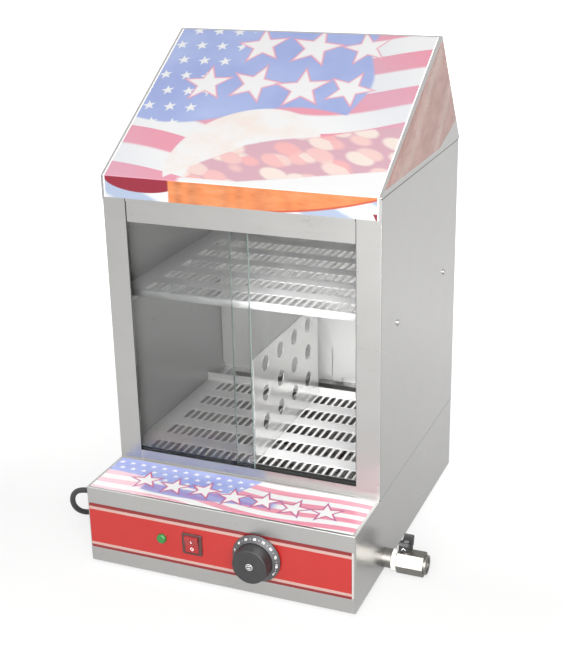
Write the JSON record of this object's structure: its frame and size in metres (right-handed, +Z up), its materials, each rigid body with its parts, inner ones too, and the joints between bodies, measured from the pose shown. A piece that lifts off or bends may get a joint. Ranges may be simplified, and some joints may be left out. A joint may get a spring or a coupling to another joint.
{
  "type": "hot dog steamer",
  "caption": "Counter-top hot dog steamer: steel base with water tank, dial, rocker switch and drain valve, glazed tower with sliding doors, bun shelf, tray and a wedge marquee.",
  "frame": {"origin": "middle of the underside of the base's floor plate; the rubber feet reach 4 mm below it", "axes": "+Z up, front with the controls towards -Y, drain valve on the +X side"},
  "size_m": [0.4738, 0.6012, 0.6196],
  "materials": {
    "brass": "turned brass",
    "cabinet_steel": "fine brushed stainless sheet",
    "control_film": "red printed film with pale and dark border lines",
    "cord_black": "black cable jacket",
    "dial_plastic": "dark plastic with white marks",
    "door_glass": "clear float glass with ground edges",
    "fastener_steel": "plain stainless",
    "handle_black": "moulded black nylon",
    "heater_steel": "heat-stained stainless tube",
    "housing_plastic": "pale moulded plastic",
    "inner_steel": "bright rolled stainless sheet",
    "knob_plastic": "moulded black plastic",
    "lamp_green": "clear green plastic",
    "ledge_film": "printed film, pale stripes and stars",
    "marquee_film": "printed film, pale stripes and stars",
    "perforated_steel": "punched stainless sheet",
    "polished_steel": "polished stainless sheet",
    "rocker_red": "moulded red plastic",
    "rubber": "black rubber",
    "seal_white": "white plastic",
    "side_film": "printed film, dark red curved bands",
    "switch_black": "moulded black plastic",
    "track_plastic": "black extruded plastic",
    "valve_plate": "nickel-plated brass",
    "wire_jacket": "thin coloured insulation"
  },
  "bodies": {
    "cabinet": {"back_liner": "inner_steel", "back_panel": "cabinet_steel", "base_shell": "cabinet_steel", "bun_shelf": "perforated_steel", "cabinet_screws": "fastener_steel", "control_fascia": "control_film", "cord": "cord_black", "cord_coil": "cord_black", "cord_gland": "rubber", "divider": "polished_steel", "drain_socket": "fastener_steel", "feet": "rubber", "floor_plate": "cabinet_steel", "heater_bushes": "brass", "heater_element": "heater_steel", "heater_gaskets": "rubber", "heater_nuts": "brass", "heater_saddles": "inner_steel", "lamp_body": "switch_black", "lamp_lens": "lamp_green", "ledge_print": "ledge_film", "lower_rail": "cabinet_steel", "lower_track": "track_plastic", "marquee_body": "cabinet_steel", "marquee_front": "cabinet_steel", "marquee_print": "marquee_film", "marquee_side_prints": "side_film", "plug": "cord_black", "plug_pins": "brass", "rivets": "fastener_steel", "roof_panel": "inner_steel", "sealing_ring": "seal_white", "sensor_bulb": "brass", "shelf_supports": "inner_steel", "steam_tray": "perforated_steel", "switch_body": "switch_black", "terminal_block": "housing_plastic", "thermostat_body": "housing_plastic", "tower_side_left": "cabinet_steel", "tower_side_right": "cabinet_steel", "tray_stop": "inner_steel", "upper_rail": "cabinet_steel", "upper_track": "track_plastic", "valve_body": "valve_plate", "valve_retainer": "brass", "valve_seats": "seal_white", "water_tank": "inner_steel", "wiring": "wire_jacket"},
    "door_front": {"door_front": "door_glass"},
    "door_rear": {"door_rear": "door_glass"},
    "rocker": {"rocker": "rocker_red"},
    "knob": {"knob_dial": "dial_plastic", "knob_cap": "knob_plastic", "knob_screw": "fastener_steel", "thermostat_shaft": "fastener_steel"},
    "drain_core": {"valve_ball": "valve_plate", "valve_stem": "brass", "valve_handle": "handle_black", "handle_screw": "fastener_steel"}
  },
  "joints": [
    {"name": "door_front_slide", "type": "slide", "parent": "cabinet", "child": "door_front", "axis": [1, 0, 0], "range_m": [-0.0265, 0.1625]},
    {"name": "door_rear_slide", "type": "slide", "parent": "cabinet", "child": "door_rear", "axis": [1, 0, 0], "range_m": [-0.001, 0.188]},
    {"name": "rocker_tilt", "type": "hinge", "parent": "cabinet", "child": "rocker", "pos_m": [-0.032, -0.2035, 0.0505], "axis": [-1, 0, 0], "range_deg": [0, 20]},
    {"name": "knob_turn", "type": "hinge", "parent": "cabinet", "child": "knob", "pos_m": [0.0529, -0.205, 0.0505], "axis": [0, 1, 0], "range_deg": [-120, 150]},
    {"name": "drain_turn", "type": "hinge", "parent": "cabinet", "child": "drain_core", "pos_m": [0.2026, -0.0965, 0.0145], "axis": [0, 0, 1], "range_deg": [0, 90]}
  ]
}
